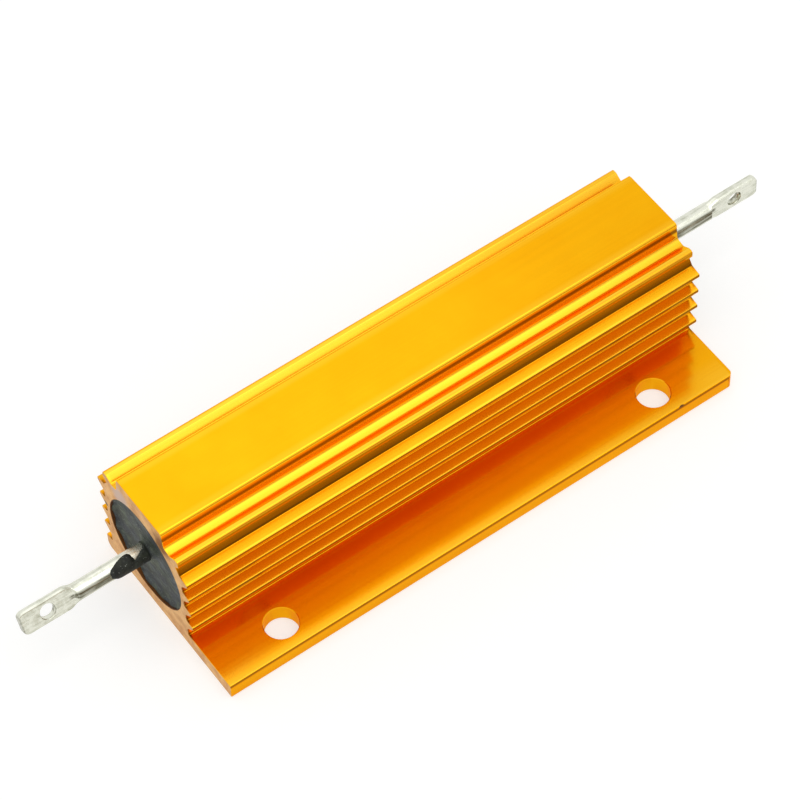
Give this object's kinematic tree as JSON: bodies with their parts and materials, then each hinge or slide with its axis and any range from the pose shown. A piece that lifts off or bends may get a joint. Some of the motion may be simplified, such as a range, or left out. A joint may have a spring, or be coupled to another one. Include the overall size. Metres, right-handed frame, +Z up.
{
  "type": "aluminium housed power resistor",
  "caption": "Wirewound power resistor potted in a ribbed, gold anodised aluminium extrusion with one drilled mounting flange and pierced flat terminals at both ends.",
  "frame": {"origin": "on the mounting face, under the mid-plane of the body at mid-length", "axes": "+X along the body from the left terminal to the right one, -Y out over the mounting flange, +Z up out of the mounting face to the flat top"},
  "size_m": [0.1304, 0.032, 0.0238],
  "materials": {
    "gold_anodised": "bright dipped and gold anodised, sawn ends matt",
    "steatite": "unglazed",
    "resistance_alloy": "drawn wire, oxidised",
    "cap_steel": "pressed and nickel plated",
    "tinned_terminal": "tin plated, satin",
    "cement": "cast dark cement, matt"
  },
  "bodies": {
    "root": {"housing": "gold_anodised", "ceramic_core": "steatite", "resistance_winding": "resistance_alloy", "end_cap_left": "cap_steel", "end_cap_right": "cap_steel", "terminal_left": "tinned_terminal", "terminal_right": "tinned_terminal", "cement_filling": "cement"}
  },
  "joints": []
}
